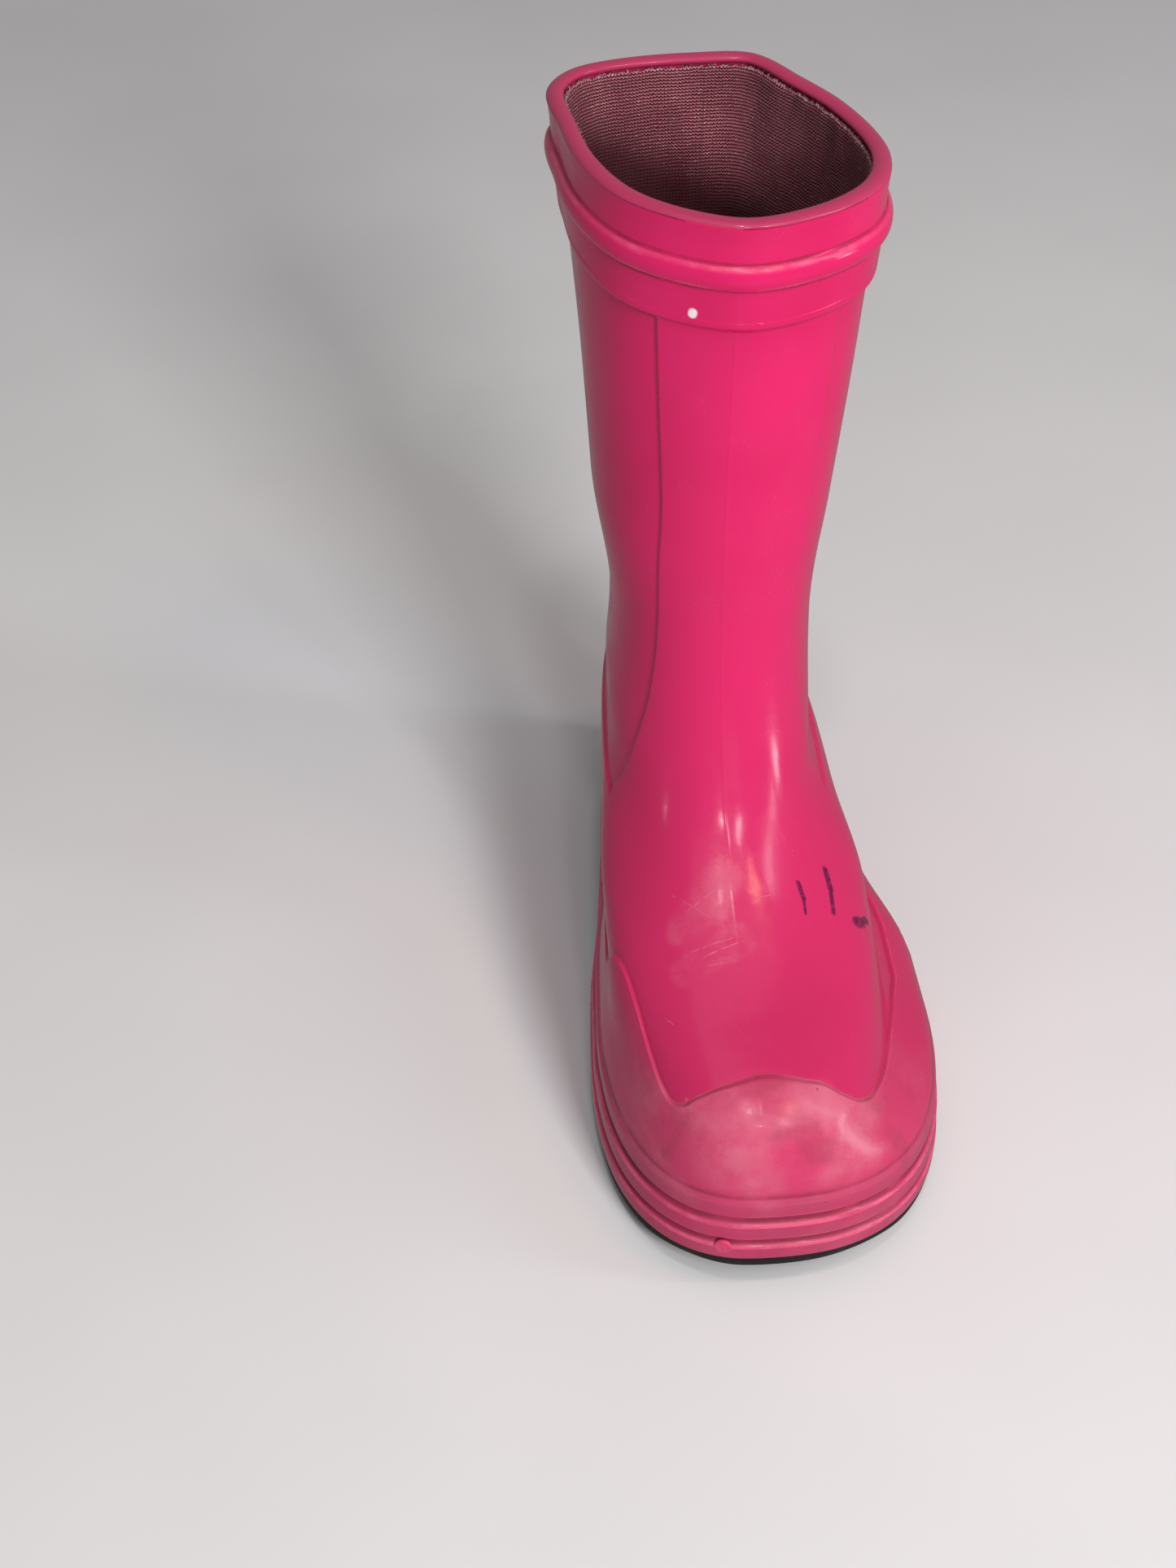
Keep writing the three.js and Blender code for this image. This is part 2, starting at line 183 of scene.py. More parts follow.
# Profiles of the ribs round the foot and of the collar, as (level, how far out)
foxing_ribs = [
    (-1, 2.3), (0, 2.7), (0.6, 3.1), (4.7, 3.1), (5.3, 1.6), (6.7, 1.5), (7.3, 2.7), (12.1, 2.6),
    (12.7, 1), (14.1, 0.9), (14.7, 1.9), (19, 1.8), (20.4, 0.9),
]
collar_bands = [
    (192.4, 0), (193.3, 1.0), (202.6, 1.2), (203.6, 1.2), (209.6, 0.9), (214.5, 0.7), (221, 1.0),
]
BEAD_LEVEL = 206.6
BEAD_HALF_HEIGHT = 3.1
BEAD_OUT = 1.8


# ------------------------------------------------------------------ the skin of the boot

def lip_height(y):
    """Height of the sole's lip above the ground."""
    toe = np.clip((-150 - y) / 55, 0, 1.2)
    return TREAD_BELOW_LIP + TOE_SPRING * toe * toe + HEEL_LIFT * smoothstep(y, -125, -55)


def oval_point(turn, level):
    """One slice before the squeezing of the mouth."""
    c, s = np.cos(turn), np.sin(turn)
    front = c > 0
    power = 2 / np.where(front, front_squareness(level), back_squareness(level))
    widest = widest_line(level)
    reach = np.where(front, widest - front_line(level), back_line(level) - widest)
    y = widest - reach * signed_power(c, power)
    foot_share = 1 - smoothstep(level, 30, 80)
    inner = inner_half_width(level) * (1 + (inner_taper(y) - 1) * foot_share)
    outer = outer_half_width(level) * (1 + (outer_taper(y) - 1) * foot_share)
    width = inner + (outer - inner) * smoothstep(s, -SIDES_BLEND, SIDES_BLEND)
    return width * signed_power(s, power) - SHAFT_INWARDS * (1 - foot_share), y


def skin_point(turn, level):
    """Point of the plain skin, without ribs and panels."""
    turn, level = np.broadcast_arrays(turn, level)
    x, y = oval_point(turn, level)
    rim_x, rim_y = oval_point(turn, np.full(level.shape, float(RIM)))
    squeeze = np.clip((level - SQUEEZE_FROM) / (RIM - SQUEEZE_FROM), 0, 1) ** 1.3
    degrees = np.degrees(turn)
    x = x + squeeze * (mouth_x(degrees) - rim_x)
    y = y + squeeze * (mouth_y(degrees) - rim_y)
    shaft = smoothstep(level, 40, 100)
    lift = lip_height(y) * (1 - shaft) + (TREAD_BELOW_LIP + HEEL_LIFT) * shaft
    return np.stack([x, y, lift + level], axis=-1)


def skin(turn, level, out):
    """The skin moved outwards, or inwards when negative, along its own normal."""
    turn, level, out = np.broadcast_arrays(turn, level, out)
    step = 0.02
    along = skin_point(turn + step, level) - skin_point(turn - step, level)
    above = skin_point(turn, np.minimum(level + 1, RIM))
    below = skin_point(turn, np.clip(level - 1, 0, RIM - 1))
    normal = np.cross(along, above - below)
    # The ribs stand straight out, the rest of the skin along its own slope
    normal[..., 2] *= smoothstep(level, FOXING_TOP - 0.5, FOXING_TOP + 2.5)
    normal /= np.linalg.norm(normal, axis=-1, keepdims=True)
    flat_level = np.minimum(level, RIM)
    points = skin_point(turn, flat_level) + normal * out[..., None]
    points[..., 2] += level - flat_level
    return points


# Columns round the boot: "across" is 0 on the front centre line, 1 on the edge of the front panel
# and 2 at the heel's centre line, and negative on the inner side. The columns stand closer at the
# parting line and at the panel's step.
near_parting = [0.007, 0.015, 0.024]
near_step = [0.965, 0.98, 0.99, 1.0, 1.003, 1.006, 1.009, 1.013, 1.02]
near_heel = [1.985, 1.991, 1.996]
panel_half = list(np.linspace(0.04, 0.95, 62))
rear_half = list(1 + np.linspace(0.05, 1, 128)[:-1] ** 1.15 * 0.975)
half_round = np.array([*near_parting, *panel_half, *near_step, *rear_half, *near_heel])
across = np.concatenate([-half_round[::-1], [0.0], half_round, [2.0]])
# The round starts at the heel's centre line and turns by the inner side and the front
across = np.roll(across, 1)
side = np.where(across >= 0, 1.0, -1.0)


def column_turn(level):
    """Turn of every column, for one level or for an array of levels per column."""
    edge = np.radians(np.where(side > 0, outer_panel_edge(level), -inner_panel_edge(level)))
    share = np.abs(across)
    return side * np.where(share <= 1, share * edge, edge + (math.pi - edge) * (share - 1))


def rounded_profile(corners, blur):
    """Smooth function through a band profile whose corners are rounded over about "blur" mm."""
    levels, outs = np.array(corners, float).T
    step, steps_each_way = 0.05, 60
    margin = step * steps_each_way
    fine = np.arange(levels[0] - margin, levels[-1] + margin, step)
    reach = np.arange(-steps_each_way, steps_each_way + 1) * step
    weights = np.exp(-0.5 * (reach / blur) ** 2)
    raw = np.pad(np.interp(fine, levels, outs), steps_each_way, mode="edge")
    soft = np.convolve(raw, weights / weights.sum(), mode="valid")
    return lambda level: np.interp(level, fine, soft)


foxing_out = rounded_profile(foxing_ribs, 0.22)
collar_out = rounded_profile(collar_bands, 0.3)


def surface_out(turn, level):
    """How far every feature of the moulding stands out of the plain skin."""
    degrees = np.degrees(turn)
    above_guard = level - guard_edge(degrees)
    foxing = foxing_out(level) * (level <= FOXING_TOP)
    guard = GUARD_RAISED * (1 - smoothstep(above_guard, -0.35, 0.45)) * (level > FOXING_TOP)
    groove = -0.06 * np.exp(-((above_guard - 0.7) / 0.35) ** 2) * (level > FOXING_TOP)
    behind_edge = smoothstep(np.abs(across), 0.998, 1.011)
    above_foot = smoothstep(level, PANEL_FOOT - 0.5, PANEL_FOOT + 0.9)
    below_collar = 1 - smoothstep(level, COLLAR_FOOT - 1.5, COLLAR_FOOT - 0.4)
    recess = -PANEL_RAISED * behind_edge * above_foot * below_collar
    collar = collar_out(level) * (level > 185)
    bead = BEAD_OUT * np.sqrt(np.clip(1 - ((level - BEAD_LEVEL) / BEAD_HALF_HEIGHT) ** 2, 0, 1))
    # The soft shaft is never quite even
    waves = 0.10 * np.sin(0.055 * level + 1.7 * np.sin(turn * 2)) * np.sin(3 * turn + 0.021 * level)
    waves = waves * smoothstep(level, 45, 75)
    return foxing + guard + groove + recess + collar + bead + waves


def parting_ridge(points, level):
    """The moulding's parting line: a fine ridge down the front and the back centre lines."""
    front_column = int(np.argmin(np.abs(across)))
    ridge = np.zeros(points.shape[:2])
    heel_column = 0
    for column, height in ((front_column, FRONT_PARTING), (heel_column, BACK_PARTING)):
        distance = np.linalg.norm(points - points[:, column:column + 1], axis=-1)
        ridge += height * np.exp(-(distance / PARTING_HALF_WIDTH) ** 2)
    return ridge * (1 - 0.8 * smoothstep(level, COLLAR_FOOT - 4, COLLAR_FOOT + 2))


# ------------------------------------------------------------------ mesh making

def new_object(name, points, faces, attributes=None, uv=None):
    """A smooth-shaded mesh object from design-frame points in millimetres.

    attributes and uv hold one value for each point."""
    mesh = bpy.data.meshes.new(name)
    metres = (np.asarray(points, float) + DESIGN_ORIGIN) / 1000
    mesh.from_pydata(metres.tolist(), [], faces)
    mesh.polygons.foreach_set("use_smooth", [True] * len(mesh.polygons))
    for key, values in (attributes or {}).items():
        layer = mesh.attributes.new(key, "FLOAT", "POINT")
        layer.data.foreach_set("value", np.asarray(values, np.float32).ravel())
    if uv is not None:
        corner_vertices = np.empty(len(mesh.loops), np.int32)
        mesh.loops.foreach_get("vertex_index", corner_vertices)
        layer = mesh.uv_layers.new(name="stitches")
        layer.data.foreach_set("uv", np.asarray(uv, np.float32)[corner_vertices].ravel())
    mesh.validate()
    mesh.update()
    piece = bpy.data.objects.new(name, mesh)
    bpy.context.scene.collection.objects.link(piece)
    return piece


def tube_faces(rows, count, first=0):
    """Quads between rings that run anticlockwise seen from above, bottom ring first."""
    ring = np.arange(count)
    following = (ring + 1) % count
    faces = []
    for row in range(rows - 1):
        low, high = first + row * count, first + (row + 1) * count
        faces += np.stack([low + ring, low + following, high + following, high + ring], 1).tolist()
    return faces


def closed_rings(rings):
    """Points and faces of a closed skin through rings of equal count."""
    rings = np.asarray(rings)
    rows, count = rings.shape[:2]
    points = np.concatenate([rings.reshape(-1, 3), [rings[0].mean(0), rings[-1].mean(0)]])
    faces = tube_faces(rows, count)
    last = (rows - 1) * count
    for i in range(count):
        j = (i + 1) % count
        faces.append([rows * count, j, i])
        faces.append([rows * count + 1, last + i, last + j])
    return points, faces


def level_row(level, out):
    return skin(column_turn(level), level, out)


SOLE_SHARES = tuple(np.linspace(1, 0.05, 14))    # how far out the rows under the foot lie


def sole_rows(level, out, height_at, shares=SOLE_SHARES):
    """A face under or inside the foot: its edge, then rows that shrink towards its middle."""
    rows = [level_row(level, out)]
    for share in shares:
        row = level_row(0, -UNDER_FOOT_INSET)
        row[:, 0] *= share
        row[:, 1] = SPINE_MIDDLE + (row[:, 1] - SPINE_MIDDLE) * share
        rows.append(row)
    for row in rows:
        row[:, 2] = height_at(row[:, 1])
    return rows


# ------------------------------------------------------------------ material making

class Nodes:
    """Short names for making a node material."""

    def __init__(self, name):
        self.material = bpy.data.materials.new(name)
        self.material.use_nodes = True
        self.tree = self.material.node_tree
        self.shader = self.tree.nodes["Principled BSDF"]

    def link(self, value, socket):
        if isinstance(value, bpy.types.NodeSocket):
            self.tree.links.new(value, socket)
        else:
            socket.default_value = value

    def add(self, kind, inputs=None, output=0, **settings):
        node = self.tree.nodes.new(kind)
        for key, value in settings.items():
            setattr(node, key, value)
        for key, value in (inputs or {}).items():
            self.link(value, node.inputs[key])
        return node.outputs[output]

    def math(self, operation, a, b=0.0, clamp=False):
        return self.add("ShaderNodeMath", {0: a, 1: b}, operation=operation, use_clamp=clamp)

    def vector(self, operation, a, b, output=0):
        return self.add("ShaderNodeVectorMath", {0: a, 1: b}, output, operation=operation)

    def position(self):
        return self.add("ShaderNodeTexCoord", output="Object")

    def scaled(self, vector, scale):
        return self.vector("MULTIPLY", vector, scale)

    def noise(self, vector, scale, detail=3.0, roughness=0.55):
        inputs = {"Vector": vector, "Scale": scale, "Detail": detail, "Roughness": roughness}
        return self.add("ShaderNodeTexNoise", inputs)

    def speckle(self, vector, scale):
        return self.add("ShaderNodeTexVoronoi", {"Vector": vector, "Scale": scale}, "Distance")

    def times(self, first, *others):
        for other in others:
            first = self.math("MULTIPLY", first, other)
        return first

    def largest(self, masks):
        total = masks[0]
        for mask in masks[1:]:
            total = self.math("MAXIMUM", total, mask)
        return total

    def part(self, vector, axis):
        """One coordinate of a vector: 0 for x, 1 for y, 2 for z."""
        return self.add("ShaderNodeSeparateXYZ", {0: vector}, axis)

    def steps(self, value, low, high, to_low=0.0, to_high=1.0):
        """to_low where value is below low, to_high where it is above high, smooth between."""
        inputs = {
            "Value": value, "From Min": low, "From Max": high, "To Min": to_low, "To Max": to_high,
        }
        return self.add("ShaderNodeMapRange", inputs, interpolation_type="SMOOTHSTEP")

    def mix(self, share, a, b):
        node = self.tree.nodes.new("ShaderNodeMix")
        node.data_type = "RGBA"
        self.link(share, node.inputs[0])
        self.link(a, node.inputs[6])
        self.link(b, node.inputs[7])
        return node.outputs[2]

    def attribute(self, name):
        return self.add("ShaderNodeAttribute", output="Fac", attribute_name=name)

    def bump(self, height, distance, strength=1.0, normal=None):
        inputs = {"Height": height, "Distance": distance, "Strength": strength}
        if normal is not None:
            inputs["Normal"] = normal
        return self.add("ShaderNodeBump", inputs)

    def stroke(self, position, start, end, half_width):
        """1 on a short line that is drawn in millimetres, 0 off it.

        start and end are (x, y) for a line seen from above, or (x, None, z) from the front."""
        seen = np.array([0.0 if value is None else 1.0 for value in (*start, None)[:3]])
        first, last = [
            (np.array([value or 0.0 for value in (*point, None)[:3]]) + DESIGN_ORIGIN) / 1000 * seen
            for point in (start, end)
        ]
        along = last - first
        to_point = self.vector("SUBTRACT", self.scaled(position, tuple(seen)), tuple(first))
        dot = self.vector("DOT_PRODUCT", to_point, tuple(along / (along @ along)), "Value")
        inputs = {0: tuple(along), "Scale": self.math("ADD", dot, 0.0, clamp=True)}
        nearest = self.add("ShaderNodeVectorMath", inputs, operation="SCALE")
        distance = self.vector("DISTANCE", to_point, nearest, "Value")
        return self.steps(distance, half_width * 0.0007, half_width * 0.0013, 1.0, 0.0)

    def patch(self, position, centre, radius):
        """1 in a soft ball, given in millimetres."""
        middle = tuple((np.array(centre) + DESIGN_ORIGIN) / 1000)
        distance = self.vector("DISTANCE", position, middle, "Value")
        return self.steps(distance, 0.0, radius / 1000, 1.0, 0.0)

    def finish(self, **inputs):
        for key, value in inputs.items():
            self.link(value, self.shader.inputs[key.replace("_", " ")])
        return self.material


# Lines drawn on the rubber, as (start, end, half width) in mm: see Nodes.stroke
PEN_MARKS = [
    ((14.9, -130.8), (16.0, -134.5), 0.65),
    ((16.0, -134.3), (16.1, -138.3), 0.4),
    ((23.1, -123.8), (24.0, -129.0), 0.8),
    ((24.0, -129.0), (24.0, -135.6), 0.6),
    ((30.6, -134.8), (32.0, -133.6), 1.3),
    ((32.0, -133.6), (34.0, -131.2), 0.8),
]
PAINT_FLECK = ((-14.3, None, 208.6), (-14.2, None, 209.2), 0.95)
SCUFFS = [
    ((-15.0, -142.0), (-5.0, -132.0), 5.0),
    ((-16.0, -152.5), (-2.0, -147.0), 4.0),
]
# Rubbed places on the toe cap, as (centre, radius) in mm: they stand where the toe's two soft
# highlights are, so their whitish haze is also a painted highlight
TOE_RUBS_AND_HIGHLIGHTS = [
    ((-8.7, -198.0, 44.0), 15.0),
    ((22.5, -195.0, 38.5), 14.0),
]
SCRATCHES = [
    ((-14.2, -138.2), (-3.4, -133.1), 0.16),
    ((-15.0, -148.6), (-3.8, -146.5), 0.14),
    ((-11.9, -150.5), (-1.1, -147.2), 0.18),
    ((-10.8, -152.6), (-3.0, -152.1), 0.13),
    ((-22.4, -162.8), (-20.1, -165.8), 0.12),
    ((1.5, -137.4), (6.9, -135.7), 0.14),
    ((-18.0, -133.5), (-9.0, -141.0), 0.10),
]

# Colours, linear
LIGHT_YARN = (0.88, 0.34, 0.41, 1)
DARK_YARN = (0.10, 0.003, 0.014, 1)
LIGHT_JERSEY = (0.36, 0.15, 0.19, 1)
DARK_JERSEY = (0.12, 0.03, 0.05, 1)
LIGHT_FOAM = (0.72, 0.66, 0.55, 1)
DARK_FOAM = (0.50, 0.44, 0.34, 1)
LIGHT_CORE = (0.55, 0.36, 0.15, 1)
DARK_CORE = (0.36, 0.22, 0.09, 1)
PINK = (0.72, 0.015, 0.135, 1)
DEEP_PINK = (0.60, 0.009, 0.10, 1)
PALE_PINK = (0.80, 0.10, 0.22, 1)
DUSTY_PINK = (0.42, 0.045, 0.115, 1)
SMEAR = (0.26, 0.040, 0.065, 1)
# Whitish haze of rubbed rubber, also the colour of the toe's painted highlights
HAZE_AND_HIGHLIGHT = (0.74, 0.36, 0.42, 1)
# Dark of dirt, also used as painted shade in hollows
GRIME_AND_SHADE = (0.20, 0.008, 0.030, 1)
INK = (0.060, 0.003, 0.045, 1)
PAINT = (0.9, 0.82, 0.84, 1)
# Painted glints of lustrous stitches
PAINTED_GLINT = (0.75, 0.72, 0.74, 1)
# Painted shade on the lining's outer side
SHADED_YARN = (0.05, 0.012, 0.016, 1)
# Painted shadow deep inside the lining
SHADOW_YARN = (0.040, 0.001, 0.005, 1)
DUST = (0.10, 0.085, 0.075, 1)
BLACK_RUBBER = (0.012, 0.012, 0.013, 1)


def worn_colour(n, place, cloudy):
    """The rubber's own pink, paler on edges and dustier low down. Gives the wear mask too."""
    pink = n.mix(n.steps(n.noise(place, 14, 2), 0.35, 0.7), PINK, DEEP_PINK)
    low_down = n.steps(n.part(place, 2), 0.04, 0.19, 0.62, 0.0)
    pink = n.mix(low_down, pink, n.mix(0.5, DEEP_PINK, DUSTY_PINK))
    dusty_ribs = n.times(n.attribute("ribs"), n.steps(cloudy, 0.3, 0.7, 0.35, 0.75))
    pink = n.mix(dusty_ribs, pink, DUSTY_PINK)
    worn = n.times(n.steps(n.attribute("ridge"), 0.3, 0.95), n.steps(cloudy, 0.38, 0.62, 0.25, 0.8))
    return n.mix(worn, pink, PALE_PINK), worn


def rubbed_toe(n, place, cloudy, colour):
    """A whitish haze, smears and tiny dark specks on the toe cap, with two rubbed patches that are
    painted highlights as well as haze. Gives the haze mask too.
    """
    toe = n.attribute("toe_cap")
    clouds = n.steps(n.noise(n.scaled(place, (1.0, 1.0, 1.6)), 38, 4, 0.55), 0.42, 0.72, 0.22, 1.0)
    # Painted highlights: the rubbed patches lie where the toe's soft highlights are
    rubs_and_highlights = n.largest([n.patch(place, *toe_patch) for toe_patch in TOE_RUBS_AND_HIGHLIGHTS])
    rubs_and_highlights = n.times(rubs_and_highlights, n.steps(cloudy, 0.3, 0.6, 0.2, 1.0))
    haze_and_highlights = n.times(toe, n.math("ADD", n.times(clouds, 0.30), n.times(rubs_and_highlights, 0.26)))
    colour = n.mix(haze_and_highlights, colour, HAZE_AND_HIGHLIGHT)
    smears = n.noise(n.scaled(place, (1.0, 1.4, 1.0)), 70, 4, 0.6)
    colour = n.mix(n.times(toe, n.steps(smears, 0.52, 0.68, 0.0, 0.32)), colour, SMEAR)
    specks = n.steps(n.speckle(place, 330), 0.06, 0.14, 1.0, 0.0)
    specks = n.times(specks, toe, n.steps(cloudy, 0.5, 0.6), 0.7)
    return n.mix(specks, colour, GRIME_AND_SHADE), haze_and_highlights


def hollow_dirt_and_shade(n, cloudy, colour):
    """Darkening in grooves and at the foot of every step: dirt, and painted shade where the steps shade
    their foot. Gives its mask too.
    """
    dirt_and_shade = n.times(n.steps(n.attribute("hollow"), 0.12, 0.9), n.steps(cloudy, 0.33, 0.58, 0.2, 0.6))
    return n.mix(dirt_and_shade, colour, GRIME_AND_SHADE), dirt_and_shade


def drawn_marks(n, place, cloudy, fine, colour):
    """Pen marks and scuffs on the instep, a fleck of paint under the collar, fine scratches."""
    upper_side = n.steps(n.part(place, 2), 0.030, 0.040)
    facing_front = n.steps(n.part(place, 1), 0.03, 0.02)
    pen = n.times(n.largest([n.stroke(place, *line) for line in PEN_MARKS]), upper_side)
    colour = n.mix(n.times(pen, n.steps(fine, 0.3, 0.6, 0.45, 0.9)), colour, INK)
    fleck = n.times(n.stroke(place, *PAINT_FLECK), facing_front)
    colour = n.mix(fleck, colour, PAINT)
    scratch = n.largest([n.stroke(place, *line) for line in SCRATCHES])
    broken = n.steps(n.noise(n.scaled(place, (1.0, 1.0, 0.0)), 420, 3, 0.6), 0.42, 0.56)
    scratch = n.times(scratch, upper_side, broken)
    colour = n.mix(n.times(scratch, 0.18), colour, HAZE_AND_HIGHLIGHT)
    scuff = n.largest([n.stroke(place, *line) for line in SCUFFS])
    scuff = n.times(scuff, upper_side, n.steps(cloudy, 0.35, 0.65))
    return n.mix(n.times(scuff, 0.11), colour, HAZE_AND_HIGHLIGHT), scratch, scuff


def pink_rubber_material():
    n = Nodes("pink_rubber")
    place = n.position()
    cloudy = n.noise(place, 90, 5, 0.62)
    fine = n.noise(place, 900, 4, 0.6)

    colour, worn = worn_colour(n, place, cloudy)
    colour, haze_and_highlights = rubbed_toe(n, place, cloudy, colour)
    colour, dirt_and_shade = hollow_dirt_and_shade(n, cloudy, colour)
    colour = n.mix(n.times(n.attribute("rim"), 0.75), colour, DUSTY_PINK)
    colour, scratch, scuff = drawn_marks(n, place, cloudy, fine, colour)

    gloss_loss = n.steps(cloudy, 0.42, 0.75, 0.0, 0.12)
    roughness = n.math("ADD", n.steps(fine, 0.3, 0.7, 0.13, 0.20), gloss_loss)
    duller = [(haze_and_highlights, 0.55), (scratch, 0.25), (scuff, 0.12), (dirt_and_shade, 0.35), (worn, 0.12)]
    for mask, amount in duller:
        roughness = n.math("ADD", roughness, n.times(mask, amount), clamp=True)

    orange_peel = n.bump(n.noise(place, 160, 2, 0.4), 0.0006, 0.10)
    nicks = n.bump(n.math("SUBTRACT", 1.0, scratch), 0.00004, 0.35, orange_peel)
    grit = n.bump(fine, 0.00005, 0.2, nicks)
    shader = n.shader.inputs
    shader["IOR"].default_value = 1.45
    shader["Coat Weight"].default_value = 0.06
    shader["Coat Roughness"].default_value = 0.08
    shader["Subsurface Weight"].default_value = 0.06
    shader["Subsurface Radius"].default_value = (0.004, 0.0012, 0.0016)
    return n.finish(Base_Color=colour, Roughness=roughness, Normal=grit)


def knit_material(name, light, dark, glint=0.0):
    """Rows of small chevron stitches, laid out by the sheet's own measure in millimetres.

    glint is how much single stitches of lustrous yarn shine, as painted glints: whitish specks in their
    colour."""
    n = Nodes(name)
    uv = n.add("ShaderNodeUVMap", uv_map="stitches")
    wobble = n.noise(uv, 0.35, 2)
    wales = n.math("ADD", n.times(n.part(uv, 0), WALES_PER_MM), wobble)
    courses = n.math("ADD", n.times(n.part(uv, 1), COURSES_PER_MM), n.times(wobble, 0.8))
    lean = n.math("PINGPONG", wales, 0.5)
    in_row = n.math("FRACT", n.math("ADD", courses, n.times(lean, 0.9)))
    yarn = n.math("PINGPONG", in_row, 0.5)
    height = n.times(n.steps(yarn, 0.08, 0.4), n.steps(lean, 0.0, 0.09))
    fibres = n.noise(n.scaled(uv, (9.0, 22.0, 1.0)), 1.0, 4, 0.7)
    patchy = n.noise(uv, 0.06, 4, 0.6)
    lit = n.times(
        height, n.steps(fibres, 0.25, 0.7, 0.45, 1.0), n.steps(patchy, 0.3, 0.7, 0.55, 1.0))
    colour = n.mix(lit, dark, light)
    if glint:
        # Painted glints: whitish specks where lustrous stitches would shine
        painted_glints = n.times(n.steps(n.noise(uv, 0.9, 2), 0.60, 0.72), height, glint)
        colour = n.mix(painted_glints, colour, PAINTED_GLINT)
        # Painted shade: the lining's outer side is a little darker
        outer_side_shade = n.steps(n.part(n.position(), 0), -0.02, 0.02, 0.0, 0.15)
        colour = n.mix(outer_side_shade, colour, SHADED_YARN)
    # Painted shadow: the yarn goes dark deep inside the leg
    colour = n.mix(n.times(n.attribute("painted_shadow"), 0.93), colour, SHADOW_YARN)
    normal = n.bump(n.math("ADD", height, n.times(fibres, 0.3)), 0.0005, 0.9)
    roughness = n.steps(fibres, 0.2, 0.8, 0.62, 0.95)
    n.shader.inputs["Specular IOR Level"].default_value = 0.2
    n.shader.inputs["Sheen Weight"].default_value = 0.04
    n.shader.inputs["Sheen Roughness"].default_value = 0.5
    return n.finish(Base_Color=colour, Roughness=roughness, Normal=normal)


def frayed_material():
    n = Nodes("frayed_yarn")
    tone = n.noise(n.position(), 700, 4, 0.7)
    colour = n.mix(n.steps(tone, 0.3, 0.7), (0.30, 0.20, 0.20, 1), (0.62, 0.55, 0.52, 1))
    return n.finish(Base_Color=colour, Roughness=n.steps(tone, 0.3, 0.7, 0.8, 1.0))


def dark_rubber_material():
    n = Nodes("dark_rubber")
    place = n.position()
    grain = n.noise(place, 1400, 4, 0.6)
    dust = n.noise(place, 55, 6, 0.65)
    # Dust shows on every side, and is thickest on the faces underneath
    underneath = n.steps(n.add("ShaderNodeNewGeometry", output="Normal"), -0.9, -0.6, 1.0, 0.0)
    dusty = n.times(n.steps(dust, 0.45, 0.75), n.math("ADD", underneath, 0.25, clamp=True))
    colour = n.mix(n.times(dusty, 0.5), BLACK_RUBBER, DUST)
    grainy = n.steps(grain, 0.3, 0.7, 0.42, 0.62)
    roughness = n.math("ADD", grainy, n.times(dusty, 0.25), clamp=True)
    return n.finish(Base_Color=colour, Roughness=roughness, Normal=n.bump(grain, 0.0001, 0.5))


def foam_material(name, light, dark):
    n = Nodes(name)
    place = n.position()
    cells = n.speckle(place, 900)
    tone = n.noise(place, 120, 4, 0.6)
    colour = n.mix(n.steps(tone, 0.3, 0.75), light, dark)
    colour = n.mix(n.steps(cells, 0.15, 0.4, 0.45, 0.0), colour, dark)
    roughness = n.steps(tone, 0.3, 0.7, 0.75, 0.95)
    return n.finish(Base_Color=colour, Roughness=roughness, Normal=n.bump(cells, 0.0004, 0.6))


# ------------------------------------------------------------------ shell

def shell_levels():
    """Levels of the outer rows, one value per column: the rows follow the guard's wavy edge."""
    edge = guard_edge(np.degrees(column_turn(PANEL_FOOT)))
    even = np.ones_like(edge)
    panel_start = PANEL_FOOT - 0.6
    edge_end = edge + 1.6
    rows = [level * even for level in np.arange(0, FOXING_TOP, 0.3)]
    rows += [FOXING_TOP + (edge - FOXING_TOP) * share for share in np.linspace(0.01, 0.93, 18)]
    for above in (-0.5, -0.35, -0.2, -0.05, 0.1, 0.25, 0.4, 0.55, 0.75, 0.95, 1.2, 1.5):
        rows.append(edge + above)
    for share in np.linspace(0.07, 1, 52)[:-1] ** 1.1:
        rows.append(edge_end + (panel_start - edge_end) * share)
    # Level rows from there on, closer at the panel's foot and at the collar
    for start, end, pitch in (
        (panel_start, PANEL_FOOT + 1.2, 0.2),
        (PANEL_FOOT + 1.5, COLLAR_FOOT - 2, 1.0),
        (COLLAR_FOOT - 1.8, COLLAR_FOOT + 2, 0.2),
        (COLLAR_FOOT + 2, RIM - 1.2, 0.35),
    ):
        rows += [level * even for level in np.arange(start, end, pitch)]
    return np.array(rows)


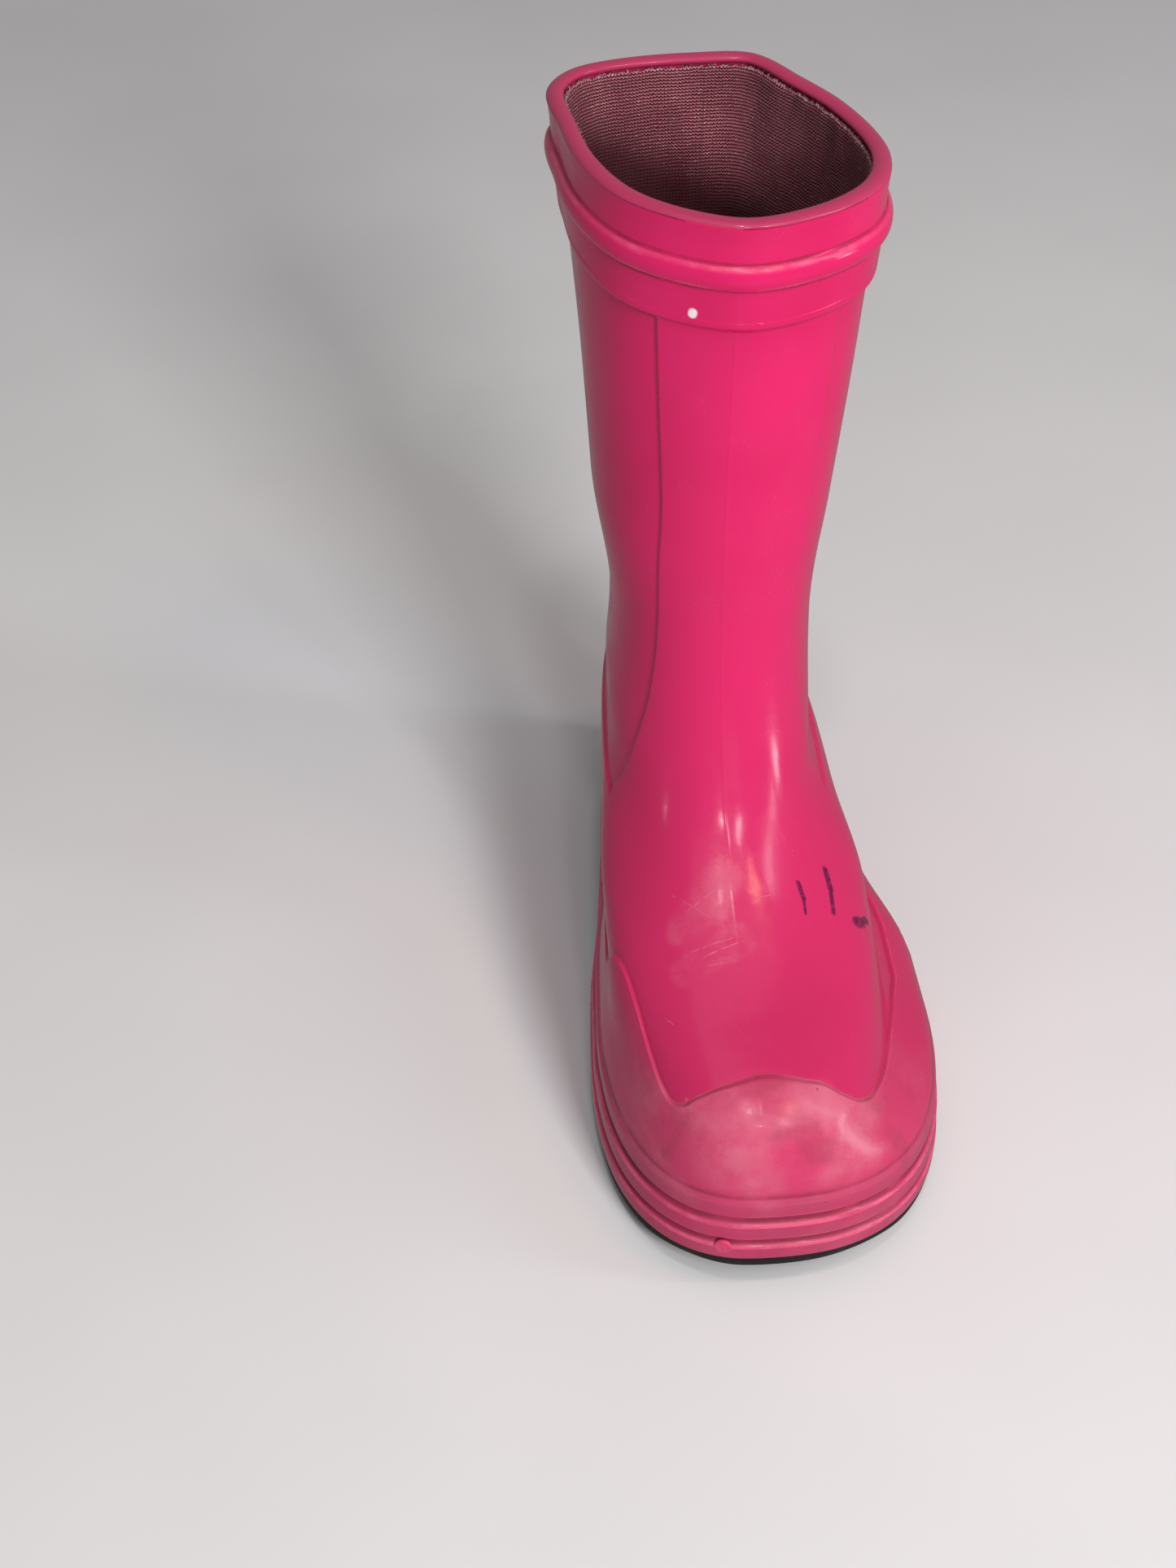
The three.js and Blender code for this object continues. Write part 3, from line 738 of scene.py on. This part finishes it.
def wear_marks(points, levels, turns, out):
    """How hollow, ridged and rubbed every point is, from 0 to 1.

    Darkening and wear follow the bend of the features: dirt and painted shade where they are hollow,
    wear on edges."""
    close_columns = np.abs(np.roll(across, -1) - np.roll(across, 1))[None, :] < 1
    near = out.copy()
    for _ in range(4):
        near = (np.roll(near, 1, 0) + near + np.roll(near, -1, 0)) / 3
        near[[0, -1]] = out[[0, -1]]
    bend = (out - near) * close_columns
    hollow = np.clip(-bend / WEAR_BEND, 0, 1) * smoothstep(levels, 0, 2)
    ridge = np.clip(bend / WEAR_BEND, 0, 1)
    # Painted shade: a dark line just behind the front panel's edge, at the foot of its step
    painted_step_shade = np.exp(-((np.abs(across)[None, :] - 1.012) / 0.004) ** 2)
    painted_step_shade = painted_step_shade * (levels > PANEL_FOOT) * (levels < COLLAR_FOOT)
    hollow = np.maximum(hollow, 0.5 * painted_step_shade)

    y = points[..., 1]
    in_guard = levels < guard_edge(np.degrees(turns)) + 0.6
    cap = (1 - smoothstep(y, -190, -150)) * smoothstep(levels, 14, 24) * in_guard
    ribs_in_front = 0.35 * (levels < FOXING_TOP) * (1 - smoothstep(y, -190, -140))
    toe_cap = np.clip(cap + ribs_in_front, 0, 1)
    ribs = 1 - smoothstep(levels, FOXING_TOP - 0.2, FOXING_TOP + 0.5)
    return {"hollow": hollow, "ridge": ridge, "toe_cap": toe_cap, "ribs": ribs}


def outer_wall():
    """Points of the outer wall, and their wear."""
    levels = shell_levels()
    turns = np.array([column_turn(row) for row in levels])
    out = surface_out(turns, levels)
    out = out + parting_ridge(skin(turns, levels, out), levels)
    points = skin(turns, levels, out)
    return points, wear_marks(points, levels, turns, out)


def rim_rows():
    """The mouth's rounded edge, from outside to inside, and the turn under it."""
    outer_edge = collar_out(RIM)
    further_in_front = FRONT_ROLL * np.clip(np.cos(column_turn(RIM)), 0, 1)
    inner_edge = -SHELL_WALL - RIM_ROLL - further_in_front
    half_wall = (outer_edge - inner_edge) / 2
    middle_out = (outer_edge + inner_edge) / 2
    height = 1.3
    rolled = [
        level_row(RIM - height + height * math.sin(angle), middle_out + half_wall * math.cos(angle))
        for angle in np.linspace(0.05, math.pi - 0.05, 15)
    ]
    return [*rolled, level_row(RIM - 1.9, inner_edge + 0.2)]


def gate_mark(turn, level, out):
    """The round scar of the injection gate, on the lowest rib: a low ring round a low point."""
    centre = skin(np.array([turn]), np.array([level]), np.array([out]))[0]
    outwards = skin(np.array([turn]), np.array([level]), np.array([out + 1.0]))[0] - centre
    outwards /= np.linalg.norm(outwards)
    sideways = np.cross(outwards, (0, 0, 1))
    sideways /= np.linalg.norm(sideways)
    upwards = np.cross(sideways, outwards)
    profile = [
        (2.3, -0.9), (2.25, 0.1), (2.1, 0.2), (1.8, 0.22), (1.4, 0.12), (0.9, 0.1), (0.6, 0.2),
        (0.3, 0.22),
    ]
    angles = np.linspace(0, 2 * math.pi, 40, endpoint=False)[:, None]
    ring = np.cos(angles) * sideways - np.sin(angles) * upwards
    return closed_rings([centre + outwards * height + radius * ring for radius, height in profile])


def build_shell():
    wall, marks = outer_wall()
    under = sole_rows(0, OUTSOLE_OUT, lip_height)[::-1]
    rim = rim_rows()
    inside = [level_row(level, -SHELL_WALL) for level in (RIM - 2.1, *np.arange(217, 16, -4))]
    floor = sole_rows(9, -SHELL_WALL - 1.5, lambda y: lip_height(y) + FLOOR_LEVEL)
    points, faces = closed_rings([*under, *wall, *rim, *inside, *floor])

    count = wall.shape[1]
    before = len(under) * count
    after = len(points) - before - wall.shape[0] * count
    marks = {
        key: np.concatenate([np.zeros(before), value.ravel(), np.zeros(after)])
        for key, value in marks.items()
    }
    # The rim's duller pink goes on, weaker, down the inside
    rim_shares = [(under, 0), (wall, 0), (rim, 1), (inside, 0.6), (floor, 0)]
    by_row = [share for rows, share in rim_shares for _ in rows]
    marks["rim"] = np.concatenate([np.repeat(by_row, count), [0, 0]])

    scar_points, scar_faces = gate_mark(math.radians(-11), 4.3, 3.0)
    scar_worn = 0.8
    faces += [[len(points) + corner for corner in face] for face in scar_faces]
    for key, value in marks.items():
        on_scar = scar_worn if key == "ridge" else 0.0
        marks[key] = np.concatenate([value, np.full(len(scar_points), on_scar)])
    shell = new_object("boot_shell", np.concatenate([points, scar_points]), faces, marks)
    shell.data.materials.append(pink_rubber_material())
    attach(shell, "root")
    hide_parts("upper_shell")


# ------------------------------------------------------------------ sock lining

def column_measure(level):
    """Distance along a row from the heel's centre line to each column, in mm."""
    row = level_row(level, 0)
    steps = np.linalg.norm(np.diff(row, axis=0), axis=1)
    return np.concatenate([[0], np.cumsum(steps)])


def sock_floor(y):
    """Height of the sock's underside."""
    return lip_height(y) + FLOOR_LEVEL + GAP


def build_lining():
    outside = SHELL_WALL + GAP
    inside = outside + LINING_THICKNESS
    lowest = 17
    levels = np.concatenate([np.arange(lowest, LINING_TOP - 1, 1.6), [LINING_TOP - 0.6]])
    turns = np.array([column_turn(level) for level in levels])
    puckers = np.sin(turns * 23 + levels[:, None] * 0.05) * np.sin(levels[:, None] * 0.09 + turns * 4)
    puckers = 0.22 * puckers * smoothstep(levels, 40, 70)[:, None]
    columns = np.arange(len(across))
    ragged = 0.35 * np.sin(columns * 1.9) + 0.25 * np.sin(columns * 0.61)
    rings = [
        *sole_rows(9, -outside - 1.5, sock_floor)[::-1],
        *skin(turns, levels[:, None], -outside),
        skin(column_turn(LINING_TOP), LINING_TOP + ragged, -(outside + inside) / 2),
        *skin(turns, levels[:, None], -inside + puckers)[::-1],
        *sole_rows(10, -inside - 1.5, lambda y: sock_floor(y) + LINING_THICKNESS),
    ]
    points, faces = closed_rings(rings)

    # Stitches are counted along the girth of the shaft and up the leg
    floor_rows = len(SOLE_SHARES) + 1
    inner_floor = np.linspace(10, -20, floor_rows)
    heights = [*[0] * floor_rows, *levels, LINING_TOP, *levels[::-1], *inner_floor]
    girth = column_measure(200)
    uv = [(m, height) for height in heights for m in girth] + [(0, 0), (0, 0)]
    # Painted shadow: the yarn is darkened deep down, from a higher level on the inner side of the leg
    lean = 0.42 * level_row(RIM, 0)[:, 0]
    painted_shadow = [1 - smoothstep(height + lean, 181, 199) for height in heights]
    marks = {"painted_shadow": np.concatenate([*painted_shadow, [1, 1]])}

    lining = new_object("knit_lining", points, faces, marks, uv)
    lining.data.materials.append(knit_material("knit", LIGHT_YARN, DARK_YARN, glint=0.7))
    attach(lining, "root")
    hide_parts("sock_lining")
    mouth_girth = float(column_measure(RIM)[-1] / 1000)


def build_frays(random):
    """Loose yarn ends along the lining's cut edge, as bent tubes 0.2 to 0.3 mm thick."""
    points, faces = [], []
    fray_count = 520
    rings, corners = 4, 4
    for place in range(fray_count):
        turn = (place + random.uniform(-0.4, 0.4)) / fray_count * 2 * math.pi
        out = -SHELL_WALL - random.uniform(0.35, 1.4)
        start = skin(np.array([turn]), np.array([LINING_TOP - 0.9]), np.array([out]))[0]
        lean = random.normal(0, 0.55, 3)
        length = random.uniform(0.3, 1.2)
        radius = random.uniform(0.10, 0.16)
        first = len(points)
        for share in np.linspace(0, 1, rings):
            centre = start + (lean[0] * share ** 2, lean[1] * share ** 2, length * share)
            thin = radius * (1 - 0.4 * share)
            for angle in np.arange(corners) * 2 * math.pi / corners:
                points.append(centre + (thin * math.cos(angle), thin * math.sin(angle), 0))
        faces += tube_faces(rings, corners, first)
        faces.append([first + corner for corner in reversed(range(corners))])
        faces.append([len(points) - corners + corner for corner in range(corners)])
    frays = new_object("lining_frays", points, faces)
    frays.data.materials.append(frayed_material())
    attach(frays, "root")


# ------------------------------------------------------------------ footbed

FOOTBED_LEVEL = 14
FOOTBED_INSET = SHELL_WALL + LINING_THICKNESS + 3 * GAP + 1.9


def footbed_layer(name, above, thickness, edge_round):
    """One layer of the footbed, "above" the sock's sole: flat faces with a rounded edge."""
    def bottom(y):
        return sock_floor(y) + GAP + LINING_THICKNESS + above

    def top(y):
        return bottom(y) + thickness

    shares = tuple(np.linspace(1, 0.05, 26))
    edge_out = -FOOTBED_INSET - edge_round
    widest_angle = 1.2
    rings = sole_rows(FOOTBED_LEVEL, edge_out, bottom, shares)[::-1]
    for angle in np.linspace(-widest_angle, widest_angle, 7):
        row = level_row(FOOTBED_LEVEL, edge_out + edge_round * math.cos(angle))
        share = 0.5 + 0.5 * math.sin(angle) / math.sin(widest_angle)
        row[:, 2] = bottom(row[:, 1]) + thickness * share
        rings.append(row)
    rings += sole_rows(FOOTBED_LEVEL, edge_out, top, shares)
    points, faces = closed_rings(rings)
    return new_object(name, points, faces, {"painted_shadow": np.zeros(len(points))}, points[:, :2])


def plan_area(outline):
    x, y = outline[:, 0], outline[:, 1]
    return abs(np.sum(x * np.roll(y, -1) - y * np.roll(x, -1))) / 2


def build_footbed():
    foam = footbed_layer("insole_foam", 0, FOOTBED_FOAM, 0.8)
    foam.data.materials.append(foam_material("foam", LIGHT_FOAM, DARK_FOAM))
    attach(foam, "root")
    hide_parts("footbed_foam")
    cloth = footbed_layer("insole_cloth", FOOTBED_FOAM + GAP, FOOTBED_CLOTH, 0.4)
    cloth.data.materials.append(knit_material("footbed_cloth", LIGHT_JERSEY, DARK_JERSEY))
    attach(cloth, "root")
    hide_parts("footbed_cloth")
    outline = level_row(FOOTBED_LEVEL, -FOOTBED_INSET)
    width, length = np.ptp(outline[:, 0]) / 1000, np.ptp(outline[:, 1]) / 1000
    float(plan_area(outline)) / 1e6


# ------------------------------------------------------------------ outsole

def sole_edges(inset):
    """The sole's inner and outer edge as x for any y, set back by "inset", and its two ends."""
    outline = level_row(0, OUTSOLE_OUT - inset)
    toe = int(np.argmin(outline[:, 1]))
    heel = int(np.argmax(outline[:, 1]))
    first, last = min(toe, heel), max(toe, heel)
    halves = [outline[first:last + 1], np.concatenate([outline[last:], outline[:first + 1]])]
    halves = [half[np.argsort(half[:, 1], kind="stable")] for half in halves]
    inner, outer = sorted(halves, key=lambda half: half[:, 0].mean())

    def edge_x(half):
        return lambda y: np.interp(y, half[:, 1], half[:, 0])

    return edge_x(inner), edge_x(outer), outline[toe, 1], outline[heel, 1]


def prism(outline, top, bottom, bevel):
    """A closed block under "outline" (x, y pairs, anticlockwise from above), its lower edge softened.

    top and bottom are heights as functions of y."""
    outline = np.asarray(outline, float)
    centre = outline.mean(0)
    size = np.maximum(np.linalg.norm(outline - centre, axis=1, keepdims=True), 1e-6)
    rings = []
    # Each ring is drawn in from the outline, and stands at a share of the height plus a lift
    for drawn_in, share, lift in (
        (bevel, 0.0, 0.0), (bevel * 0.3, 0.0, bevel * 0.35), (0.0, 0.12, bevel * 0.35), (0.0, 1.0, 0.0),
    ):
        ring = centre + (outline - centre) * (1 - drawn_in / size)
        low, high = bottom(ring[:, 1]), top(ring[:, 1])
        height = np.minimum(low + (high - low) * share + lift, high)
        rings.append(np.column_stack([ring, height]))
    return closed_rings(rings)


def lug_rows(left, right, rows, spans, chevron):
    """Outlines of lugs: every (low y, high y) row is split across into spans of its width.

    chevron is how far the middle of a lug's long sides points to the heel."""
    for low, high in rows:
        for start, end in spans:
            forward = np.linspace(0, 1, 13)
            outline = []
            for y, shares in ((low, forward), (high, forward[::-1])):
                edge, width = left(y), right(y) - left(y)
                for share in shares:
                    x = edge + width * (start + (end - start) * share)
                    outline.append((x, y + chevron * (1 - abs(2 * share - 1))))
            yield outline


def plate_bottom(y):
    """Height of the sole between its lugs."""
    return tread_bottom(y) + GROOVE_DEPTH


def lug_root(y):
    return plate_bottom(y) + LUG_ROOT


def flat_at(height):
    return lambda y: np.full_like(y, height)


def sole_plate():
    """The plate between the lip and the lugs, with a moulded edge that is a little fuller."""
    side_rows = []
    lip = lip_height(level_row(0, 0)[:, 1])
    for share, out in ((0.0, -1.0), (0.0, -0.3), (0.15, 0.0), (0.5, 0.1), (0.85, 0.0), (1.0, -0.25)):
        row = level_row(0, OUTSOLE_OUT + SOLE_PROUD + out)
        row[:, 2] = plate_bottom(row[:, 1]) * (1 - share) + (lip - GAP) * share
        side_rows.append(row)
    shares = tuple(np.linspace(1, 0.05, 24))
    under = sole_rows(0, OUTSOLE_OUT - 1.4, plate_bottom, shares)[::-1]
    over = sole_rows(0, OUTSOLE_OUT - 0.4, lambda y: lip_height(y) - GAP, shares)
    return closed_rings([*under, *side_rows, *over])


def build_outsole():
    left, right, toe_y, heel_y = sole_edges(1.2)
    parts = [sole_plate()]

    # Lugs under the ball of the foot, within a narrow border
    last_lug = -103
    rows = [
        (y, min(y + LUG_PITCH - LUG_GROOVE, last_lug))
        for y in np.arange(toe_y + 3.0, last_lug - 1, LUG_PITCH)
    ]
    ball_spans = ((0.0, 0.36), (0.39, 0.61), (0.64, 1.0))
    for outline in lug_rows(left, right, rows, ball_spans, 1.2):
        parts.append(prism(outline, lug_root, tread_bottom, 0.5))

    # The heel block with lugs of its own
    along = np.linspace(HEEL_BREAST, heel_y - 0.4, 40)
    block = [(left(y), y) for y in along[::-1]] + [(right(y), y) for y in along]
    parts.append(prism(block, lug_root, flat_at(GROOVE_DEPTH), 0.4))
    rows = [
        (y, y + LUG_PITCH - LUG_GROOVE) for y in np.arange(HEEL_BREAST + 1.0, heel_y - 8, LUG_PITCH)
    ]
    for outline in lug_rows(left, right, rows, ((0.0, 0.47), (0.53, 1.0)), 0.0):
        parts.append(prism(outline, flat_at(GROOVE_DEPTH + LUG_ROOT), flat_at(0.0), 0.5))

    points, faces = [], []
    for part_points, part_faces in parts:
        faces += [[len(points) + corner for corner in face] for face in part_faces]
        points += list(part_points)
    sole = new_object("rubber_outsole", points, faces)
    sole.data.materials.append(dark_rubber_material())
    edge_split = sole.modifiers.new("crisp_edges", "EDGE_SPLIT")
    edge_split.split_angle = math.radians(40)
    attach(sole, "root")
    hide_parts("outsole")


# ------------------------------------------------------------------ floor, light and camera

def build_floor():
    half = 3.0
    corners = [(-half, -half, 0), (half, -half, 0), (half, half, 0), (-half, half, 0)]
    mesh = bpy.data.meshes.new("floor")
    mesh.from_pydata(corners, [], [(0, 1, 2, 3)])
    floor = bpy.data.objects.new("floor", mesh)
    bpy.context.scene.collection.objects.link(floor)
    n = Nodes("pale_floor")
    tone = n.steps(n.noise(n.position(), 8, 2), 0.3, 0.7)
    colour = n.mix(tone, (0.74, 0.74, 0.74, 1), (0.77, 0.77, 0.77, 1))
    mesh.materials.append(n.finish(Base_Color=colour, Roughness=0.8))
    # The gloss doesn't show the floor, because the boot was seen on a dark one
    floor.visible_glossy = False
    floor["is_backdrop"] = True


def add_light(name, place, aim, size, watts, colour=(1, 1, 1), mirrored=True):
    """An area light; "mirrored" says whether the gloss of the rubber shows it."""
    light = bpy.data.lights.new(name, "AREA")
    light.shape = "RECTANGLE"
    light.size, light.size_y = size
    light.energy = watts
    light.color = colour
    lamp = bpy.data.objects.new(name, light)
    lamp.location = place
    lamp.rotation_euler = (Vector(aim) - Vector(place)).to_track_quat("-Z", "Y").to_euler()
    lamp.visible_glossy = mirrored
    bpy.context.scene.collection.objects.link(lamp)


def towards(aim, azimuth, elevation, distance):
    """The point at a distance from aim: azimuth 0 is in front of the toe, 90 at the outer side."""
    turn, rise = math.radians(azimuth), math.radians(elevation)
    way = Vector((math.sin(turn) * math.cos(rise), -math.cos(turn) * math.cos(rise), math.sin(rise)))
    return Vector(aim) + way * distance


def build_lights():
    """A soft key and ceiling, and small lights that make the highlights on the gloss."""
    toe = (0.0, -0.09, 0.03)
    vamp = (0.0, -0.04, 0.07)
    shaft = (0.0, 0.03, 0.14)
    white = (1.0, 1.0, 1.0)
    # Name, what it shines on, azimuth, elevation, distance, size, watts, colour
    mirrored_lights = [
        ("bead_lamp", shaft, 5, 50, 1.3, (0.07, 0.07), 0.8, white),
        ("low_window", toe, 83, 10, 1.2, (0.16, 0.12), 0.8, (0.9, 0.92, 1.0)),
        ("ceiling", vamp, -20, 80, 1.7, (1.5, 1.5), 3, white),
        ("ceiling_lamp", vamp, -9, 74, 1.2, (0.07, 0.10), 1.2, white),
        ("tall_window", vamp, 78, 36, 1.3, (0.10, 0.9), 2.2, (0.86, 0.9, 1.0)),
        ("door_gap", vamp, 35, 54, 1.2, (0.05, 0.22), 1.0, (0.9, 0.92, 1.0)),
        ("warm_lamp", vamp, 62, 62, 1.2, (0.16, 0.16), 1.1, (1.0, 0.55, 0.3)),
        ("far_bulb", vamp, -80, 20, 1.2, (0.012, 0.012), 0.08, white),
    ]
    key_place = towards(shaft, 20, 31, 1.3)
    add_light("key", key_place, shaft, (0.30, 0.40), 11.2, (1.0, 0.97, 0.97), mirrored=False)
    for name, aim, azimuth, elevation, distance, size, watts, colour in mirrored_lights:
        add_light(name, towards(aim, azimuth, elevation, distance), aim, size, watts, colour)
    world = bpy.data.worlds.new("studio")
    world.use_nodes = True
    background = world.node_tree.nodes["Background"].inputs
    background["Color"].default_value = (0.95, 0.95, 0.97, 1)
    background["Strength"].default_value = 0.22
    bpy.context.scene.world = world
    bpy.context.scene.view_settings.view_transform = "Standard"


# Where the camera stands, in metres, how it is turned, in radians, and its lens, in mm
CAMERA_PLACE = Vector((-0.075143, -0.451582, 0.474773))
CAMERA_YAW = -0.0731
CAMERA_PITCH = 0.7205
CAMERA_ROLL = 0.0163
CAMERA_LENS = 52.31


def build_camera():
    yaw, pitch, roll = CAMERA_YAW, CAMERA_PITCH, CAMERA_ROLL
    level_forward = Vector((-math.sin(yaw), math.cos(yaw), 0))
    level_right = Vector((math.cos(yaw), math.sin(yaw), 0))
    forward = level_forward * math.cos(pitch) - Vector((0, 0, math.sin(pitch)))
    level_up = level_right.cross(forward)
    right = level_right * math.cos(roll) + level_up * math.sin(roll)
    up = level_up * math.cos(roll) - level_right * math.sin(roll)
    camera = bpy.data.objects.new("camera", bpy.data.cameras.new("camera"))
    camera.data.lens = CAMERA_LENS
    camera.data.sensor_width = 36
    camera.data.clip_start = 0.01
    turn = Matrix((right, up, -forward)).transposed().to_4x4()
    camera.matrix_world = Matrix.Translation(CAMERA_PLACE) @ turn
    bpy.context.scene.collection.objects.link(camera)
    bpy.context.scene.camera = camera


# ------------------------------------------------------------------ the boot

build_camera()
build_floor()
build_lights()
build_shell()
build_lining()
build_frays(np.random.default_rng(7))
build_footbed()
build_outsole()

core_material = foam_material("core_foam", LIGHT_CORE, DARK_CORE)
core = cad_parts["heel_core"]
core.data.materials.clear()
core.data.materials.append(core_material)

boxes = {"cad": cad_box, "visual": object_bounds()}
{name: [list(corner) for corner in box] for name, box in boxes.items()}
